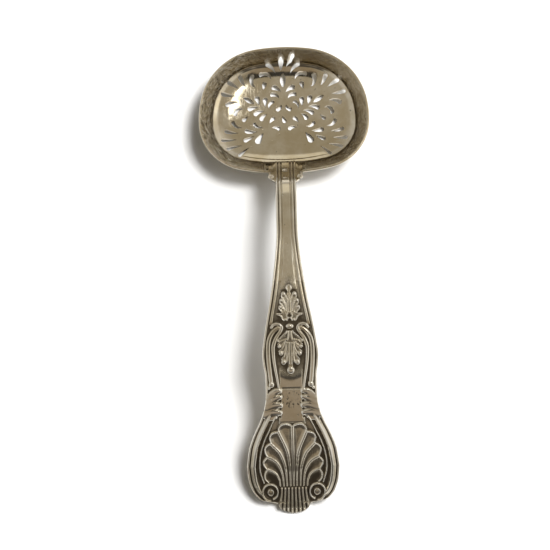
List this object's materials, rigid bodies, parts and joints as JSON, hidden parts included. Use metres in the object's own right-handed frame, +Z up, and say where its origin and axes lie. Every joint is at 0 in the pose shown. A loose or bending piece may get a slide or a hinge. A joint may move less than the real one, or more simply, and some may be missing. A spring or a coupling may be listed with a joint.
{
  "type": "sugar sifter spoon",
  "caption": "Sifter spoon with a pierced oval bowl and an arched handle struck with threads, palmettes and a shell.",
  "frame": {"origin": "middle of the flat foot under the bowl, on the surface that the spoon rests on", "axes": "+Z up; +Y along the spoon from the handle's tip towards the front of the bowl; X across"},
  "size_m": [0.0566, 0.1534, 0.0258],
  "materials": {
    "bowl_silver": "old hand-raised silver, warm grey-brown, softly polished with fine scratches and small pits",
    "handle_silver": "old struck silver, bright worn ridges over dark tarnish in the ornament",
    "solder": "dull grey silver solder"
  },
  "bodies": {
    "root": {"pierced_bowl": "bowl_silver", "handle": "handle_silver", "joint_drop": "handle_silver", "shoulder_scroll_left": "handle_silver", "shoulder_scroll_right": "handle_silver", "solder_seam": "solder"}
  },
  "joints": []
}
